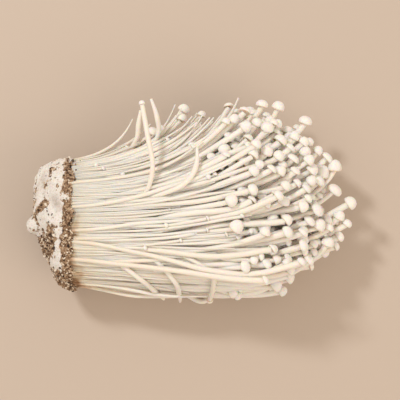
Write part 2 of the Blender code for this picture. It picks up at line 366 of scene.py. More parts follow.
# %% Place the strays
# Points in millimetres from the root face, root first, and then the cap's width.
STRAYS = {
    "crossing_mushroom_left": (
        ((41, 13, 44.4), (39.6, 24, 45.8), (37.4, 38, 46), (34.8, 52.3, 44)), 3.0),
    "crossing_mushroom_right": (
        ((44, 12, 44.6), (51, 15.4, 45.8), (56.6, 20, 46.2), (59.4, 26, 46), (59.6, 33, 45)), 0.0),
    "upright_mushroom_short": (
        ((30, 29.9, 22), (31.2, 36.5, 23.5), (32.4, 44, 25), (33.4, 50.5, 26)), 0.0),
    "upright_mushroom_long": (
        ((40.5, 31.4, 26), (41.6, 39, 27.5), (41, 47.6, 29), (38.4, 55.6, 30)), 0.0),
    "bent_mushroom_left": (
        ((28, -18, 42), (34, -23.6, 37.6), (40, -28.8, 28.6), (44, -33, 17)), 0.0),
    "bent_mushroom_right": (
        ((46, -17.6, 44), (49.6, -24.8, 38.4), (51.4, -30.2, 28), (51.6, -34.2, 15)), 0.0),
    "hanging_mushroom": (
        ((58, -15, 45), (65.6, -20.4, 43.4), (66.8, -27.6, 34.4), (65.4, -32.8, 23)), 3.4),
    "curled_mushroom": (
        ((48, -26.6, 4), (54, -31.6, 3.2), (60.4, -35, 3), (64.2, -34.4, 3.2), (66, -31.4, 4)), 0.0),
}


def smooth_path(points, pieces=7):
    """A smooth curve through the points, as a Catmull-Rom spline."""
    ends = [2 * points[0] - points[1], *points, 2 * points[-1] - points[-2]]
    path = []
    for a, b, c, d in zip(ends, ends[1:], ends[2:], ends[3:]):
        for number in range(pieces):
            t = number / pieces
            path.append(
                0.5 * ((2 * b) + (c - a) * t + (2 * a - 5 * b + 4 * c - d) * t**2
                       + (3 * b - a - 3 * c + d) * t**3)
            )
    path.append(points[-1])
    return np.array(path)


# The single stems take up more room than the solid tufts, so strays lie this many mm further out.
OUTER_ROOM = 2.2
# The middle of the bunch across and up, from the root face, and a stray's lowest height.
BUNCH_MIDDLE = (-5.0, 16.0)
STRAY_FLOOR = 1.5 * MM


def outwards(point_mm):
    """The way out of the bunch at a point, square to its length."""
    way = np.array((0, point_mm[1] - BUNCH_MIDDLE[0], point_mm[2] - BUNCH_MIDDLE[1]))
    return way / np.linalg.norm(way)


def stray_line(points_mm):
    """A stray's line: out of the way of the loose outer stems, and rooted between them."""
    start, out = np.array(points_mm[0]), outwards(points_mm[0])
    rooted = [start + (-15, 1.5, 0) - 5.0 * out, start + (-5.5, 1.0, 0) - 1.0 * out]
    clear = [np.array(point) + OUTER_ROOM * outwards(point) for point in points_mm[1:]]
    line = [point * MM + np.array(ROOT_FACE) for point in (*rooted, *clear)]
    for point in line:
        point[2] = max(point[2], STRAY_FLOOR)
    return line


stray_paths = {name: smooth_path(stray_line(stray[0])) for name, stray in STRAYS.items()}

print("strays:", len(stray_paths))

# %% [markdown]
# ## Room for each other
#
# Drawn from the rule alone, the lines would run through each other. So every line is treated as a
# string of beads: beads that overlap push each other apart, each string keeps itself smooth, and
# nothing sinks into the table. Each round mends a part of every overlap. Some overlap is left at
# the end, most of it less than half a millimetre.

# %% Push apart
ROUNDS = 96
# Rounds between two searches for neighbours, and how far a search looks.
LIST_EVERY = 12
LOOK_AROUND = 6.4 * MM
# The bead of a cap, in cap widths, and of a stem, in stem radii, at its root and further up.
CAP_BEAD = 0.48
STEM_BEADS = (0.80, 0.96)
# How much of the way along is left out of the gap of two stems, a stem and a tip, and two tips.
SLIDE = np.array((1.0, 0.3, 0.0))
# The share of an overlap that one round mends, of a kink, and of the way back to where it grew.
MEND, SMOOTH, RETURN = 0.42, 0.28, 0.018
# Points further apart along their stems than this many spacings don't meet.
ABREAST = 0.8
# A stray's bead, and how many of its first points lie inside the bunch and push nothing.
STRAY_BEAD = 1.25 * MM
STRAY_ROOTED = 10
# The lowest place of a tip, in beads, and the room that all keep above the table.
TIP_FLOOR = 1.35
FLOOR_ROOM = 0.1 * MM
# How far the lines stay inside the solids' box on the -Y side and may pass it on the +Y side.
LOW_SIDE, HIGH_SIDE = 3 * MM, 2 * MM


def near_pairs(points, owner):
    """Pairs of points of different stems that are close enough to touch soon."""
    tree = kdtree.KDTree(len(points))
    for number, point in enumerate(points):
        tree.insert(point, number)
    tree.balance()
    first, second = [], []
    for number, point in enumerate(points):
        for _, other, _ in tree.find_range(point, LOOK_AROUND):
            if other > number and owner[other] != owner[number]:
                first.append(number)
                second.append(other)
    return np.array(first), np.array(second)


def stray_beads():
    """The strays' points, ways and numbers, for the others to keep clear of."""
    points, ways, owners = [], [], []
    for number, path in enumerate(stray_paths.values()):
        outside = path[STRAY_ROOTED:]
        way = np.gradient(outside, axis=0)
        points.append(outside)
        ways.append(way / np.linalg.norm(way, axis=1, keepdims=True))
        owners.extend([count + number] * len(outside))
    return np.concatenate(points), np.concatenate(ways), np.array(owners)


def settle(lines, radius):
    """Moves the lines' points until stems and caps lie beside each other and beside the strays."""
    stem, station = np.nonzero(used)
    is_tip = station == last[stem]
    cap_share = np.where(is_tip & ~capless[stem], CAP_BEAD, 0.0)
    # Stems are grown together at the root, so there they may touch closely.
    squeeze = np.interp(station, (0, 8), STEM_BEADS)
    bead = np.maximum(radius[stem, station] * squeeze, cap_share * cap_width[stem])
    own = len(bead)
    still, still_way, still_owner = stray_beads()
    bead = np.concatenate([bead, np.full(len(still), STRAY_BEAD)])
    owner = np.concatenate([stem, still_owner])
    is_tip = np.concatenate([is_tip, np.zeros(len(still), bool)])
    home = lines.copy()
    for round_number in range(ROUNDS):
        points = np.concatenate([lines[stem, station], still])
        if round_number % LIST_EVERY == 0:
            first, second = near_pairs(points, owner)
        way = np.gradient(lines, axis=1)[stem, station]
        way /= np.linalg.norm(way, axis=1, keepdims=True)
        way = np.concatenate([way, still_way])
        apart = points[first] - points[second]
        both = way[first] + way[second]
        both /= np.linalg.norm(both, axis=1, keepdims=True) + 1e-9
        along_both = np.sum(apart * both, axis=1)
        # Stems are kept apart sideways, a tip and a stem nearly all round, and two tips all round.
        tips_in_pair = is_tip[first].astype(int) + is_tip[second]
        beside = apart - SLIDE[tips_in_pair][:, None] * along_both[:, None] * both
        gap = np.linalg.norm(beside, axis=1) + 1e-9
        need = bead[first] + bead[second]
        meets = (tips_in_pair == 2) | (np.abs(along_both) < ABREAST * SPACING)
        push = np.where(meets, np.maximum(need - gap, 0), 0)
        move = beside / gap[:, None] * (MEND * push)[:, None]
        total = np.zeros_like(points)
        hits = np.ones(len(points))
        np.add.at(total, first, move)
        np.add.at(total, second, -move)
        np.add.at(hits, first, push > 0)
        np.add.at(hits, second, push > 0)
        root_hold = np.minimum(station / 2.0, 1)[:, None]
        lines[stem, station] += (total / np.sqrt(hits)[:, None])[:own] * root_hold
        # Each line pulls itself smooth, and a little back to where it grew.
        middle = (lines[:, :-2] + lines[:, 2:]) / 2
        inner = used[:, 2:, None]
        lines[:, 1:-1] += np.where(inner, SMOOTH * (middle - lines[:, 1:-1]), 0)
        lines += RETURN * (home - lines)
        low = np.zeros((count, stations))
        low[stem, station] = np.where(is_tip[:own], TIP_FLOOR, 1.0) * bead[:own] + FLOOR_ROOM
        lines[:, :, 2] = np.maximum(lines[:, :, 2], low)
        lowest_y, highest_y = CAD_BOX[0].y + LOW_SIDE, CAD_BOX[1].y + HIGH_SIDE
        lines[:, :, 1] = np.clip(lines[:, :, 1], lowest_y, highest_y)
    return lines, push


lines, leftover = settle(lines, radius)
print("deepest overlap of beads left, mm:", (leftover.max() / MM).round(2))
print("mean of those that overlap, mm:", (leftover[leftover > 0].mean() / MM).round(2))

# %% [markdown]
# ## Caps to put on the stems
#
# A young enoki cap is a firm dome with its rim rolled in, seldom wider than three stems. Four
# shapes are turned on a lathe, so to speak: a profile is spun round the stem. They are repeated
# hundreds of times, so each has fewer than a hundred faces.

# %% Turn the caps
CAP_SIDES = 12
# Profiles from the stem outwards and up to the crown, in cap radii: distance out and up.
CAP_PROFILES = {
    "cap_bun": (
        (0.36, 0.12), (0.72, 0.02), (0.93, 0.02), (1.0, 0.24), (0.94, 0.58), (0.68, 0.92), (0.3, 1.08)),
    "cap_dome": (
        (0.36, 0.12), (0.74, 0.0), (0.94, 0.02), (1.0, 0.28), (0.91, 0.72), (0.62, 1.12), (0.26, 1.28)),
    "cap_flat": (
        (0.34, 0.14), (0.72, 0.06), (0.94, 0.04), (1.0, 0.20), (0.94, 0.46), (0.66, 0.74), (0.28, 0.86)),
    "cap_bell": (
        (0.40, 0.06), (0.74, -0.06), (0.94, -0.05), (1.0, 0.26), (0.90, 0.76), (0.60, 1.24), (0.24, 1.44)),
}


def join_rings(work, rings):
    """Walls of four-sided faces from each ring of corners to the next."""
    for lower, upper in zip(rings, rings[1:]):
        for side in range(len(lower)):
            after = (side + 1) % len(lower)
            work.faces.new((lower[side], lower[after], upper[after], upper[side]))


def finish_shape(work, name):
    """The shape as an object, and its workshop cleared away."""
    mesh = bpy.data.meshes.new(name)
    work.to_mesh(mesh)
    work.free()
    return bpy.data.objects.new(name, mesh)


def turn_cap(name, profile):
    """A cap of radius 1; the number cap_part on its corners rises from the gills to the crown."""
    work = bmesh.new()
    kind = work.verts.layers.float.new("cap_part")
    rim = max(range(len(profile)), key=lambda number: profile[number][0])
    rings = []
    for number, (out, up) in enumerate(profile):
        ring = []
        for side in range(CAP_SIDES):
            angle = 2 * math.pi * side / CAP_SIDES
            corner = work.verts.new((out * math.cos(angle), out * math.sin(angle), up))
            corner[kind] = 0.5 * (number + 1) / (rim + 1) if number < rim else 1.0
            ring.append(corner)
        rings.append(ring)
    join_rings(work, rings)
    crown = work.verts.new((0, 0, profile[-1][1] + 0.02))
    crown[kind] = 1.0
    inside = work.verts.new((0, 0, profile[0][1] + 0.1))
    inside[kind] = 0.3
    for side in range(CAP_SIDES):
        after = (side + 1) % CAP_SIDES
        work.faces.new((rings[-1][side], rings[-1][after], crown))
        work.faces.new((rings[0][after], rings[0][side], inside))
    bmesh.ops.recalc_face_normals(work, faces=work.faces)
    cap = finish_shape(work, name)
    cap.data.shade_smooth()
    return cap


cap_shapes = bpy.data.collections.new("cap_shapes")
for cap_name, cap_profile in sorted(CAP_PROFILES.items()):
    cap_shapes.objects.link(turn_cap(cap_name, cap_profile))

# %% [markdown]
# ## Mushroom flesh
#
# Enoki flesh is ivory white, firm and faintly see-through: light goes in at one place and comes out
# warmer at another, which keeps the gaps between the stems from going grey. That is subsurface
# scattering with a reddish radius. Towards the root the flesh turns cream and then tan, every
# mushroom has a shade of its own, and fine fibres run along each stem.

# %% Build the flesh material
def feed(tree, socket, value):
    """Gives an input what it reads: another node's output, a colour or a plain value."""
    if isinstance(value, bpy.types.NodeSocket):
        tree.links.new(value, socket)
    elif socket.type == "RGBA" and isinstance(value, tuple):
        socket.default_value = (*value[:3], 1.0)
    else:
        socket.default_value = value


def add(tree, kind, **values):
    """A node in a tree: in_NAME or in_NUMBER feeds an input, and the rest are its settings."""
    node = tree.nodes.new(kind)
    for name, value in values.items():
        if not name.startswith("in_"):
            setattr(node, name, value)
    for name, value in values.items():
        if name.startswith("in_"):
            key = name[3:]
            feed(tree, node.inputs[int(key) if key.isdigit() else key.replace("_", " ")], value)
    return node


def maths(tree, operation, first, second, third=None):
    """The output of a Math node fed by sockets or numbers."""
    node = add(tree, "ShaderNodeMath", operation=operation, in_0=first, in_1=second)
    if third is not None:
        feed(tree, node.inputs[2], third)
    return node.outputs[0]


def blend_colours(tree, factor, first, second, mode="MIX"):
    """The output of a colour Mix node fed by sockets or colours."""
    return add(
        tree, "ShaderNodeMix", data_type="RGBA", blend_type=mode, clamp_result=True,
        in_0=factor, in_6=first, in_7=second,
    ).outputs[2]


def ramp(tree, value, *stops):
    """A colour ramp through (position, colour) stops; returns its colour."""
    node = tree.nodes.new("ShaderNodeValToRGB")
    elements = node.color_ramp.elements
    while len(elements) < len(stops):
        elements.new(0.5)
    for element, (position, colour) in zip(elements, stops):
        element.position = position
        grey_or_colour = colour if isinstance(colour, tuple) else (colour,) * 3
        element.color = (*grey_or_colour, 1.0)
    tree.links.new(value, node.inputs[0])
    return node.outputs[0]


def attribute(tree, name, output="Fac"):
    """The number, or with output Vector the vector, stored on the mesh under a name."""
    return add(tree, "ShaderNodeAttribute", attribute_name=name).outputs[output]


def grains(tree, place, scale, detail, roughness=0.5):
    """Noise at a place, from 0 to 1."""
    return add(
        tree, "ShaderNodeTexNoise", in_Vector=place, in_Scale=scale, in_Detail=detail,
        in_Roughness=roughness,
    ).outputs["Fac"]


def here_on_object(tree):
    """The object's own coordinates."""
    return add(tree, "ShaderNodeTexCoord").outputs["Object"]


def bumpy(tree, shader, height, strength, distance):
    """Gives a shader a bump that follows a height."""
    bump = add(
        tree, "ShaderNodeBump", in_Strength=strength, in_Distance=distance, in_Height=height
    )
    feed(tree, shader.inputs["Normal"], bump.outputs["Normal"])


def principled(name, **values):
    """A material with its Principled shader, and the shader's plain values set on its sockets."""
    material = bpy.data.materials.new(name)
    material.use_nodes = True
    shader = material.node_tree.nodes["Principled BSDF"]
    for key, value in values.items():
        shader.inputs[key.replace("_", " ")].default_value = value
    return material, material.node_tree, shader


def make_flesh():
    """Ivory mushroom flesh, with the root's stain, the gills' shade and fibres along the stem."""
    material, tree, shader = principled(
        "mushroom_flesh_look",
        Subsurface_Weight=0.50,
        Subsurface_Radius=(1.0, 0.62, 0.36),
        Subsurface_Scale=0.0017,
        IOR=1.38,
        Coat_Roughness=0.35,
    )
    shade = attribute(tree, "shade")
    part = attribute(tree, "cap_part")
    here = here_on_object(tree)
    soft = grains(tree, here, 140.0, 3.0)
    # The root's stain: strongest in the first tenth of the stem, uneven, and longer on the -Y side.
    uneven = maths(tree, "MULTIPLY_ADD", soft, 0.16, -0.08)
    across = add(tree, "ShaderNodeSeparateXYZ", in_0=here).outputs["Y"]
    lower_side = maths(tree, "MULTIPLY_ADD", across, 1.3, 0.022)
    along_stem = maths(tree, "ADD", attribute(tree, "along"), uneven)
    body = ramp(
        tree, maths(tree, "ADD", along_stem, lower_side),
        (0.0, (0.34, 0.20, 0.11)), (0.022, (0.64, 0.48, 0.34)), (0.055, (0.86, 0.775, 0.66)),
        (0.14, (0.925, 0.875, 0.80)), (0.5, (0.95, 0.912, 0.86)), (1.0, (0.955, 0.92, 0.87)),
    )
    own_shade = maths(tree, "MULTIPLY", shade, 0.35)
    warm = blend_colours(tree, own_shade, body, (0.94, 0.86, 0.76), "MULTIPLY")
    cap_colour = blend_colours(tree, soft, (0.965, 0.945, 0.915), (0.95, 0.918, 0.87))
    is_cap = ramp(tree, part, (0.62, 0.0), (0.9, 1.0))
    gills = ramp(tree, part, (0.02, 0.0), (0.2, 1.0), (0.48, 1.0), (0.62, 0.0))
    shaded = blend_colours(
        tree, maths(tree, "MULTIPLY", gills, 0.6), blend_colours(tree, is_cap, warm, cap_colour),
        (0.78, 0.66, 0.48), "MULTIPLY",
    )
    feed(tree, shader.inputs["Base Color"], shaded)
    # Fibres: noise that is fine round the stem and long along it.
    stretch = add(
        tree, "ShaderNodeVectorMath", operation="MULTIPLY",
        in_0=attribute(tree, "round_stem", "Vector"), in_1=(3.0, 3.0, 9.0),
    )
    fibres = grains(tree, stretch.outputs[0], 2.2, 4.0, 0.6)
    bumpy(tree, shader, fibres, 0.35, 0.00025)
    feed(tree, shader.inputs["Roughness"], ramp(tree, fibres, (0.3, 0.36), (0.7, 0.52)))
    return material


flesh = make_flesh()
print("nodes in the flesh:", len(flesh.node_tree.nodes))

# %% [markdown]
# ## Flesh on the lines
#
# A mushroom is a line with a thickness and a cap at its end, so it suits Geometry Nodes well: the
# lines become curves, a round profile is swept along them, and a cap is set on each tip. The tree
# takes its sizes from numbers stored on the lines, so one tree makes every mushroom.

# %% The mushroom tree
def named(tree, name, kind="FLOAT"):
    """A number or vector stored on the geometry."""
    node = add(tree, "GeometryNodeInputNamedAttribute", data_type=kind, in_Name=name)
    return node.outputs["Attribute"]


def store(tree, geometry, name, value, kind="FLOAT"):
    """Stores a number or vector on the geometry's points; returns the geometry."""
    return add(
        tree, "GeometryNodeStoreNamedAttribute", data_type=kind, domain="POINT",
        in_Name=name, in_Geometry=geometry, in_Value=value,
    ).outputs["Geometry"]


def new_tree(name, kind, outputs, **inputs):
    """A tree with named sockets; returns it with its own input and output nodes."""
    tree = bpy.data.node_groups.new(name, kind)
    for in_out, sockets in (("INPUT", inputs), ("OUTPUT", outputs)):
        for label, socket_kind in sockets.items():
            tree.interface.new_socket(
                label.replace("_", " "), in_out=in_out, socket_type="NodeSocket" + socket_kind
            )
    return tree, tree.nodes.new("NodeGroupInput").outputs, tree.nodes.new("NodeGroupOutput").inputs


def set_on_points(tree, points, shapes, **values):
    """Copies of a collection's shapes on points, one for each."""
    shelf = add(
        tree, "GeometryNodeCollectionInfo", in_Separate_Children=True, in_Reset_Children=True,
        in_Collection=shapes,
    )
    return add(
        tree, "GeometryNodeInstanceOnPoints", in_Pick_Instance=True, in_Points=points,
        in_Instance=shelf.outputs[0], **values,
    ).outputs[0]


def make_real(tree, geometry):
    """The geometry with its copies made real."""
    return add(tree, "GeometryNodeRealizeInstances", in_0=geometry).outputs[0]


def painted(tree, geometry, material):
    """The geometry in one material."""
    node = add(tree, "GeometryNodeSetMaterial", in_Geometry=geometry, in_Material=material)
    return node.outputs[0]


def mushroom_tree():
    """Sweeps stems along the lines and sets caps on their tips."""
    tree, given, made = new_tree(
        "grow_mushrooms", "GeometryNodeTree", {"Mushrooms": "Geometry"},
        Lines="Geometry", Stem_Sides="Int", Cap_Shapes="Collection", Flesh="Material",
    )
    # Where a point lies round the stem is stored as a place on a circle, which has no seam.
    profile = add(
        tree, "GeometryNodeCurvePrimitiveCircle", in_Radius=1.0, in_Resolution=given["Stem Sides"]
    )
    on_circle = tree.nodes.new("GeometryNodeInputPosition").outputs[0]
    sweep = add(
        tree, "GeometryNodeCurveToMesh", in_Fill_Caps=True,
        in_Curve=add(tree, "GeometryNodeMeshToCurve", in_0=given["Lines"]).outputs[0],
        in_Profile_Curve=store(tree, profile.outputs["Curve"], "circle", on_circle, "FLOAT_VECTOR"),
        in_Scale=named(tree, "thickness"),
    )
    split = add(tree, "ShaderNodeSeparateXYZ", in_0=named(tree, "circle", "FLOAT_VECTOR"))
    round_stem = add(
        tree, "ShaderNodeCombineXYZ",
        in_0=split.outputs[0], in_1=split.outputs[1], in_2=named(tree, "fibre_run"),
    ).outputs[0]
    stems = store(tree, sweep.outputs["Mesh"], "round_stem", round_stem, "FLOAT_VECTOR")
    stems = store(tree, stems, "cap_part", 0.0)

    has_cap = add(
        tree, "FunctionNodeCompare", data_type="FLOAT", operation="GREATER_THAN",
        in_0=named(tree, "cap_radius"), in_1=0.0005,
    )
    tips = add(
        tree, "GeometryNodeSeparateGeometry", domain="POINT",
        in_Geometry=given["Lines"], in_Selection=has_cap.outputs[0],
    )
    turned = add(
        tree, "FunctionNodeAlignRotationToVector", axis="Z",
        in_Vector=named(tree, "cap_way", "FLOAT_VECTOR"),
    )
    caps = set_on_points(
        tree, tips.outputs[0], given["Cap Shapes"], in_Rotation=turned.outputs[0],
        in_Instance_Index=named(tree, "cap_shape", "INT"), in_Scale=named(tree, "cap_radius"),
    )
    both = add(tree, "GeometryNodeJoinGeometry", in_0=caps)
    feed(tree, both.inputs[0], stems)
    smooth = add(
        tree, "GeometryNodeSetShadeSmooth", in_Geometry=make_real(tree, both.outputs[0])
    )
    feed(tree, made[0], painted(tree, smooth.outputs[0], given["Flesh"]))
    return tree


def run_tree(holder_name, mesh, name, tree, **inputs):
    """Runs a tree on a mesh; returns a plain mesh object, with the holder and modifier removed."""
    holder = bpy.data.objects.new(holder_name, mesh)
    bpy.context.scene.collection.objects.link(holder)
    modifier = holder.modifiers.new(tree.name, "NODES")
    modifier.node_group = tree
    for item in tree.interface.items_tree:
        key = item.name.replace(" ", "_")
        if item.item_type == "SOCKET" and item.in_out == "INPUT" and key in inputs:
            modifier[item.identifier] = inputs[key]
    graph = bpy.context.evaluated_depsgraph_get()
    result = bpy.data.meshes.new_from_object(holder.evaluated_get(graph), depsgraph=graph)
    result.name = name
    bpy.data.objects.remove(holder)
    plain = bpy.data.objects.new(name, result)
    bpy.context.scene.collection.objects.link(plain)
    return plain


grow = mushroom_tree()
print("nodes in the mushroom tree:", len(grow.nodes))

# %% [markdown]
# ## A clump for each tuft
#
# The solids group the stems into tufts, so the looks do too: each mushroom joins the tuft whose
# root is nearest, and each tuft becomes one piece.

# %% Give every mushroom its tuft
# Height on the root face, tufts in the row, and the row's half width.
ROWS = ((0.10, 7, 0.80), (0.30, 8, 0.95), (0.50, 8, 0.95), (0.70, 7, 0.82), (0.90, 5, 0.56))
tufts = [
    (f"row{row + 1}_{number + 1}", width * (2 * (number + 0.5) / in_row - 1), tall)
    for row, (tall, in_row, width) in enumerate(ROWS)
    for number in range(in_row)
]
tuft_spot = np.array([(spot * ROOT_HALF_WIDTH, tall * ROOT_HEIGHT) for label, spot, tall in tufts])
own_spot = np.stack([place * ROOT_HALF_WIDTH, height * ROOT_HEIGHT], axis=1)
own_tuft = np.linalg.norm(own_spot[:, None] - tuft_spot[None], axis=2).argmin(axis=1)

in_each = np.bincount(own_tuft)
print("mushrooms in a tuft, fewest and most:", in_each.min(), in_each.max())

# %% [markdown]
# ## Growing a clump
#
# The lines of one tuft's mushrooms go into one mesh, with each one's thickness, cap and shade
# stored on its points. The tree turns that mesh into flesh, and the result becomes a plain piece.

# %% Grow the clumps
STEM_SIDES = 8
CAP_TILT = 0.24
# The stain and the fibres count from the root in these lengths.
STAIN_LENGTH = 110 * MM
FIBRE_LENGTH = 8 * MM
# Caps tip towards +Y, the way the stems turn, and a little up from the table.
LOOK_UP = Vector((0, 0.50, 0.20))


def cap_directions(paths):
    """The way each cap faces: on from its stem, and tipped a little."""
    ways = []
    for path in paths:
        way = Vector(path[-1] - path[-2]).normalized()
        tip = Vector(chance.normal(0, CAP_TILT, 3)) + LOOK_UP
        ways.append((way + tip).normalized())
    return ways


def grow_piece(name, paths, radii, cap_radii, grown=0.0):
    """One piece with a mushroom on each path; grown is how far up its stem a path begins."""
    corners, edges, thickness, along_stem, cap, ways, shapes, shades, runs = ([] for _ in range(9))
    directions = cap_directions(paths)
    for path, path_radii, cap_radius, way in zip(paths, radii, cap_radii, directions):
        start = len(corners)
        size = len(path)
        corners.extend(path)
        edges.extend((start + n, start + n + 1) for n in range(size - 1))
        thickness.extend(path_radii)
        walked = np.concatenate([[0], np.cumsum(np.linalg.norm(np.diff(path, axis=0), axis=1))])
        along_stem.extend(grown + walked / STAIN_LENGTH)
        cap.extend([0.0] * (size - 1) + [cap_radius])
        ways.extend([way] * size)
        shapes.extend([int(chance.integers(0, len(CAP_PROFILES)))] * size)
        shades.extend([float(chance.uniform(0, 1))] * size)
        runs.extend(float(chance.uniform(0, 50)) + walked / FIBRE_LENGTH)
    mesh = bpy.data.meshes.new(name + "_lines")
    mesh.from_pydata([tuple(corner) for corner in corners], edges, [])
    for label, kind, values in (
        ("thickness", "FLOAT", thickness), ("along", "FLOAT", along_stem),
        ("cap_radius", "FLOAT", cap), ("shade", "FLOAT", shades),
        ("fibre_run", "FLOAT", runs), ("cap_shape", "INT", shapes),
    ):
        mesh.attributes.new(label, kind, "POINT").data.foreach_set("value", values)
    flat = np.array(ways, dtype=np.float32).ravel()
    mesh.attributes.new("cap_way", "FLOAT_VECTOR", "POINT").data.foreach_set("vector", flat)
    piece = run_tree(
        name + "_lines", mesh, name, grow, Stem_Sides=STEM_SIDES, Cap_Shapes=cap_shapes, Flesh=flesh
    )
    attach(piece, BODY)
    return piece


triangles = 0
for tuft_number, (label, spot, tall) in enumerate(tufts):
    members = np.nonzero(own_tuft == tuft_number)[0]
    paths = [lines[member, : last[member] + 1] for member in members]
    radii = [radius[member, : last[member] + 1] for member in members]
    clump = grow_piece(f"mushrooms_{label}", paths, radii, cap_width[members] / 2)
    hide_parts(f"tuft_{label}")
    triangles += sum(len(face.vertices) - 2 for face in clump.data.polygons)

print("clumps:", len(tufts), "triangles:", triangles)

# %% [markdown]
# ## Growing the strays
#
# A stray is a piece of its own. Only its upper part is built, so it begins well above the stain.

# %% Grow the strays
for stray_name, path in stray_paths.items():
    share = np.linspace(0, 1, len(path))
    cap_mm = STRAYS[stray_name][1]
    tip_mm = 1.1 if cap_mm else 0.65
    thick = np.interp(share, (0, 0.3, 0.75, 1.0), (0.85, 1.1, 1.2, tip_mm)) * MM
    stray = grow_piece(stray_name + "_look", [path], [thick], [cap_mm / 2 * MM], grown=0.4)
    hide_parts(stray_name)

print("strays grown:", len(stray_paths))

# %% [markdown]
# ## The plug
#
# The plug is spent sawdust. White mycelium has overgrown it like felt, and where that felt has
# torn away the brown crumbs show. It broke off the block at a slant, so it's thick on the +Y side
# and thin on the other. A closed loaf with many faces is pushed in and out by noise of three
# sizes: lumps of the block, clumps of felt, and single grains.

# %% Shape the plug
# Distance back from the root face, size, and shift across, in the solid's numbers.
PLUG_SHAPE = np.array((
    (-1.5, 1.055, 0.0), (0.6, 1.055, 0.0), (4.5, 0.99, 1.0),
    (8.5, 0.86, 3.6), (12.5, 0.69, 6.4), (16, 0.46, 8.2),
))


def loaf_point(back, angle, size, shift):
    """A point of the loaf's outline, flat on the table."""
    middle = ROOT_HEIGHT / 2
    y = ROOT_HALF_WIDTH * size * math.cos(angle)
    z = middle + middle * size * math.sin(angle) * 1.05 - 0.5 * middle * (1 - size)
    return Vector((ROOT_FACE.x - back, ROOT_FACE.y + y + shift, z))


def shape_loaf(name, stations, around, roughness, lengthwise=1.0, ragged=None):
    """A closed loaf through stations of back, size and shift, pushed in and out by roughness.

    lengthwise is the share of the roughness along the bunch, and ragged moves corners along it.
    """
    work = bmesh.new()
    stands_out = work.verts.layers.float.new("stands_out")
    rings = []
    for back, size, shift in stations:
        size = max(size, 0.015)
        angles = (2 * math.pi * side / around for side in range(around))
        rings.append(
            [work.verts.new(loaf_point(back * MM, angle, size, shift * MM)) for angle in angles]
        )
    join_rings(work, rings)
    work.faces.new(rings[0])
    work.faces.new(rings[-1])
    bmesh.ops.recalc_face_normals(work, faces=work.faces)
    work.normal_update()
    moves = []
    for corner in work.verts:
        out = roughness(corner.co)
        corner[stands_out] = out / MM
        push = corner.normal * out
        push.x *= lengthwise
        if ragged:
            push.x += ragged(corner.co)
        moves.append(corner.co + push)
    for corner, moved in zip(work.verts, moves):
        corner.co = moved
        corner.co.z = max(corner.co.z, 0.05 * MM + 0.3 * MM * abs(noise.noise(moved * 600)))
    loaf = finish_shape(work, name)
    loaf.data.shade_smooth()
    bpy.context.scene.collection.objects.link(loaf)
    return loaf


# A smooth nub of felt stands out at the back of the plug.
NUB = Vector((ROOT_FACE.x - 14.8 * MM, ROOT_FACE.y - 0.5 * MM, 25 * MM))


def nub_share(point):
    """How much a point belongs to the nub, from 0 to 1."""
    return math.exp(-((point - NUB).length / (3.9 * MM)) ** 4)


def plug_roughness(point):
    """Lumps of the block, clumps of felt, single grains, and the nub."""
    lump = 1.9 * noise.noise(point * 85 + Vector((3, 7, 1)))
    clump = 0.9 * (0.5 - noise.voronoi(point * 300)[0][0])
    grain = 0.42 * (0.5 - noise.voronoi(point * 820)[0][0]) + 0.25 * noise.noise(point * 1500)
    return (lump + clump + grain + 3.4 * nub_share(point)) * MM


def torn_front(point):
    """How far the plug's torn front reaches over the stems at a point."""
    front = np.interp((ROOT_FACE.x - point.x) / MM, (-1.0, 4.0), (1.0, 0.0))
    waves = 2.8 * noise.noise(Vector((1, point.y * 90, point.z * 90)))
    teeth = 1.6 * noise.noise(Vector((4, point.y * 340, point.z * 340)))
    return max(1.2 + waves + teeth, 0.0) * front * MM


# Where the plug's side ends and its rounded back begins: distance, size and shift there.
BACK_START, BACK_SIZE, BACK_SHIFT = 15.6, 0.484, 8.0


def plug_stations():
    """The plug's sections: along its length, and then closing over its back."""
    backs = np.linspace(-1.5, BACK_START, 38)
    sizes, shifts = (np.interp(backs, PLUG_SHAPE[:, 0], PLUG_SHAPE[:, column]) for column in (1, 2))
    stations = list(zip(backs, sizes, shifts))
    for share in np.linspace(0.05, 1, 18):
        turned = share * math.pi / 2
        back, size = BACK_START + 1.3 * math.sin(turned), BACK_SIZE * math.cos(turned) ** 0.9
        stations.append((back, size, BACK_SHIFT))
    return stations


def store_numbers(piece, name, values):
    """Stores a number on each corner of a piece."""
    piece.data.attributes.new(name, "FLOAT", "POINT").data.foreach_set("value", values)


plug = shape_loaf("plug_of_sawdust", plug_stations(), 210, plug_roughness, ragged=torn_front)
heights = np.zeros(len(plug.data.vertices))
plug.data.attributes["stands_out"].data.foreach_get("value", heights)
print("plug corners:", len(plug.data.vertices))
print("lumps, mm:", heights.min().round(2), "to", heights.max().round(2))

# %% [markdown]
# ## Where the felt is whole
#
# One number on every corner says how much felt covers it. It's high on the +Y half, which grew
# against the bottle, low in hollows and along the seam to the stems, where the block was torn.
# Colour and crumbs both follow this number, so they agree.

# %% Felt cover
def felt_cover(point, out_mm):
    """How much felt covers a point of the plug: above 0.5 is white."""
    back = (ROOT_FACE.x - point.x) / MM
    seam = np.interp(back, (-3.0, 0.5, 2.8), (0.26, 0.40, 0.0))
    side = np.interp(point.y / MM, (-40, -16, -5, 4), (-0.12, -0.04, 0.12, 0.24))
    torn = 0.5 * noise.fractal(point * 120, 0.8, 2.0, 5) + 0.2 * noise.noise(point * 800)
    return float(0.42 + side - seam + torn + 0.10 * out_mm + 0.5 * nub_share(point))


